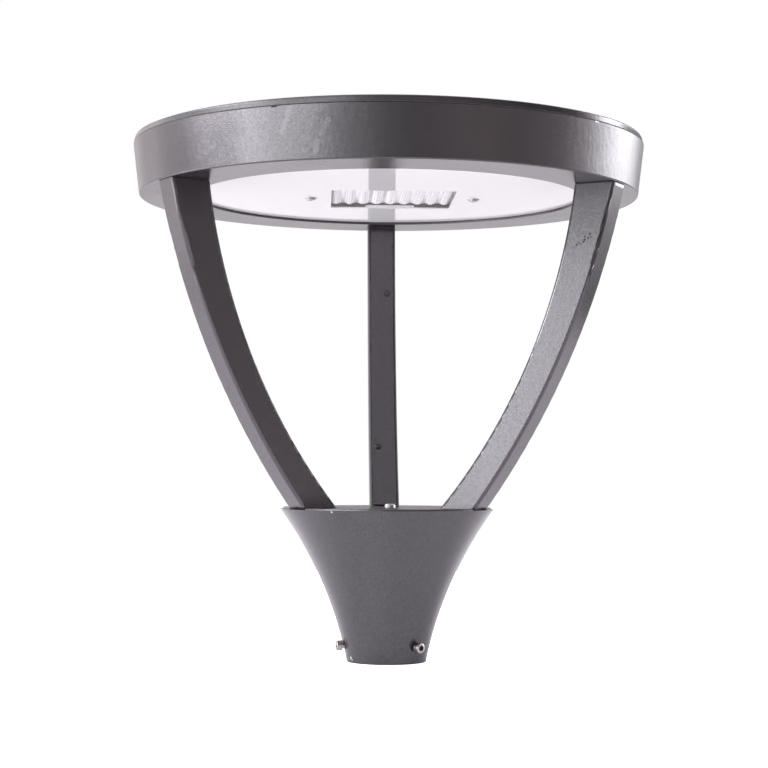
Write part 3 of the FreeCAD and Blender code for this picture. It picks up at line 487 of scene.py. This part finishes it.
# Compass angle and height of each patch in degrees: 0 at the right, 90 behind, -90 at the camera's side
softBoxes = [
    {"angle": -170, "half": 18, "low": 24, "high": 50, "soft": 24, "rise": 14, "light": (4.27, 4.42, 4.51)},
    {"angle": -168, "half": 18, "low": 5, "high": 20, "soft": 14, "rise": 12, "light": (18.37, 18.41, 19.20)},
    {"angle": -148, "half": 12, "low": -16, "high": -6, "soft": 14, "rise": 8, "light": (3.00, 3.00, 3.10)},
    {"angle": -140, "half": 20, "low": -4, "high": 4, "soft": 14, "rise": 12, "light": (6.04, 6.29, 6.36)},
    {"angle": -130, "half": 18, "low": 24, "high": 50, "soft": 24, "rise": 14, "light": (1.94, 2.03, 2.05)},
    {"angle": -118, "half": 16, "low": -4, "high": 14, "soft": 20, "rise": 12, "light": (1.57, 1.60, 1.68)},
    {"angle": -95, "half": 18, "low": -6, "high": 10, "soft": 22, "rise": 12, "light": (0.47, 0.46, 0.45)},
    {"angle": -55, "half": 18, "low": -6, "high": 10, "soft": 22, "rise": 12, "light": (0.71, 0.62, 0.62)},
    {"angle": -15, "half": 18, "low": -6, "high": 10, "soft": 22, "rise": 12, "light": (0.69, 0.62, 0.62)},
    {"angle": 26, "half": 16, "low": 3, "high": 14, "soft": 42, "rise": 12, "light": (13.40, 13.50, 13.80)},
    {"angle": 30, "half": 8, "low": 14, "high": 26, "soft": 12, "rise": 10, "light": (18.00, 18.00, 18.30)},
    {"angle": 45, "half": 14, "low": -8, "high": 2, "soft": 14, "rise": 10, "light": (0.90, 0.86, 0.92)},
    {"angle": 66, "half": 26, "low": 31, "high": 46, "soft": 20, "rise": 10, "light": (3.20, 3.20, 3.30)},
    {"angle": 78, "half": 24, "low": -30, "high": 8, "soft": 16, "rise": 40, "light": (0.90, 0.87, 0.90)},
    {"angle": 120, "half": 18, "low": 24, "high": 50, "soft": 24, "rise": 14, "light": (4.37, 4.33, 4.42)},
    {"angle": 123, "half": 20, "low": -22, "high": 30, "soft": 14, "rise": 12, "light": (1.05, 0.98, 1.02)},
    {"angle": 155, "half": 18, "low": -10, "high": 10, "soft": 20, "rise": 10, "light": (1.20, 1.12, 1.16)},
    {"angle": 155, "half": 10, "low": 13, "high": 50, "soft": 14, "rise": 40, "light": (1.48, 1.66, 1.51)},
    {"angle": 179, "half": 26, "low": -30, "high": -9, "soft": 14, "rise": 12, "light": (7.27, 7.20, 7.35)},
]


# The camera sees the floor plain white; the lamp is lit by its glow
def makeFloor():
    radius, count = studio["floorRadius"], studio["floorSides"]
    turns = [2 * math.pi * k / count for k in range(count)]
    mesh = bpy.data.meshes.new("studioFloor")
    edge = [(radius * math.cos(t), radius * math.sin(t), 0) for t in turns]
    mesh.from_pydata(edge, [], [tuple(range(count))])
    floor = bpy.data.objects.new("studioFloor", mesh)
    bpy.context.scene.collection.objects.link(floor)
    material = newMaterial("studioPaper")
    g = Graph(material.node_tree)
    where = g.place()
    tone, tint = studio["floorTone"], studio["floorTint"]
    paper = g.noise(where, studio["floorGrain"])
    colour = g.mix(paper, grey(tone * studio["floorDull"], *tint), grey(tone, *tint))
    split = g.add("ShaderNodeSeparateXYZ", {0: where}).outputs
    reach = g.math("MAXIMUM", g.vector("LENGTH", where).outputs["Value"], smallest)
    near = g.span(reach, *[studio["nearRadius"] * share for share in studio["nearEdge"]], smooth=True)
    glow = g.math("MULTIPLY", near, studio["nearGlow"])
    far = g.math("SUBTRACT", 1.0, near)
    for side, level in studio["farGlow"].items():
        axis, sign = sides[side]
        towards = g.span(g.math("DIVIDE", split[axis], reach), *[sign * s for s in studio["farSpread"]])
        glow = g.math("MULTIPLY_ADD", g.math("MULTIPLY", towards, far), level, glow)
    seen = g.add("ShaderNodeLightPath").outputs["Is Camera Ray"]
    g.surface(Base_Color=colour, Roughness=studio["floorRoughness"], Emission_Color=grey(1.0),
              Emission_Strength=g.math("MAXIMUM", glow, seen))
    mesh.materials.append(material)


# one inside a band of angles, fading over a soft edge, all in degrees
def band(g, angle, middle, half, soft):
    outer, inner = math.radians(half + soft / 2), math.radians(half - soft / 2)
    return g.span(g.away(angle, middle), outer, inner, smooth=True)


# The camera sees the room plain white; the lamp is lit by its ceiling, its walls and the patches
def makeRoom():
    world = bpy.data.worlds.new("studioRoom")
    bpy.context.scene.world = world
    world.use_nodes = True
    world.node_tree.nodes.clear()
    g = Graph(world.node_tree)
    split = g.add("ShaderNodeSeparateXYZ", {0: g.place("Generated")}).outputs
    turn = g.math("ARCTAN2", split["Y"], split["X"])
    rise = g.math("ARCSINE", split["Z"])
    overhead = g.scale(studio["ceiling"], g.span(rise, *studio["ceilingRise"]))
    total = g.vector("ADD", overhead, studio["room"]).outputs[0]
    for box in softBoxes:
        middle, half = (box["low"] + box["high"]) / 2, (box["high"] - box["low"]) / 2
        across = band(g, turn, box["angle"], box["half"], box["soft"])
        upright = band(g, rise, middle, half, box["rise"])
        made = g.scale(box["light"], g.math("MULTIPLY", across, upright))
        total = g.vector("ADD", made, total).outputs[0]
    seen = g.add("ShaderNodeLightPath").outputs["Is Camera Ray"]
    back = g.add("ShaderNodeBackground", {"Color": g.mix(seen, total, grey(1.0))})
    out = g.add("ShaderNodeOutputWorld")
    world.node_tree.links.new(back.outputs[0], out.inputs[0])


makeFloor()
makeRoom()
bpy.context.scene.view_settings.view_transform = "Standard"
print("studio done")


# Camera at the photo's angle: low, looking slightly up, with the lamp turned a little

view = {
    "distance": 1.8236,
    "height": 0.1878,
    "lens": 87.02,
    "sensor": 36.0,
    "yaw": -0.001914,
    "pitch": 0.045514,
    "roll": 0.004735,
    "lampTurn": 2.0277,  # degrees that the lamp is turned in the photo
}


def makeCamera():
    data = bpy.data.cameras.new("photoCamera")
    data.lens = view["lens"]
    data.sensor_width = view["sensor"]
    camera = bpy.data.objects.new("photoCamera", data)
    bpy.context.scene.collection.objects.link(camera)
    yaw, pitch, roll = view["yaw"], view["pitch"], view["roll"]
    forward = Vector((math.sin(yaw) * math.cos(pitch), math.cos(yaw) * math.cos(pitch), math.sin(pitch)))
    right = Vector((math.cos(yaw), -math.sin(yaw), 0))
    up = right.cross(forward)
    rolledRight = math.cos(roll) * right + math.sin(roll) * up
    rolledUp = math.cos(roll) * up - math.sin(roll) * right
    turn = Matrix((rolledRight, rolledUp, -forward)).transposed().to_4x4()
    turn.translation = Vector((0, -view["distance"], view["height"]))
    camera.matrix_world = Matrix.Rotation(math.radians(-view["lampTurn"]), 4, "Z") @ turn
    bpy.context.scene.camera = camera


makeCamera()
print("camera done")
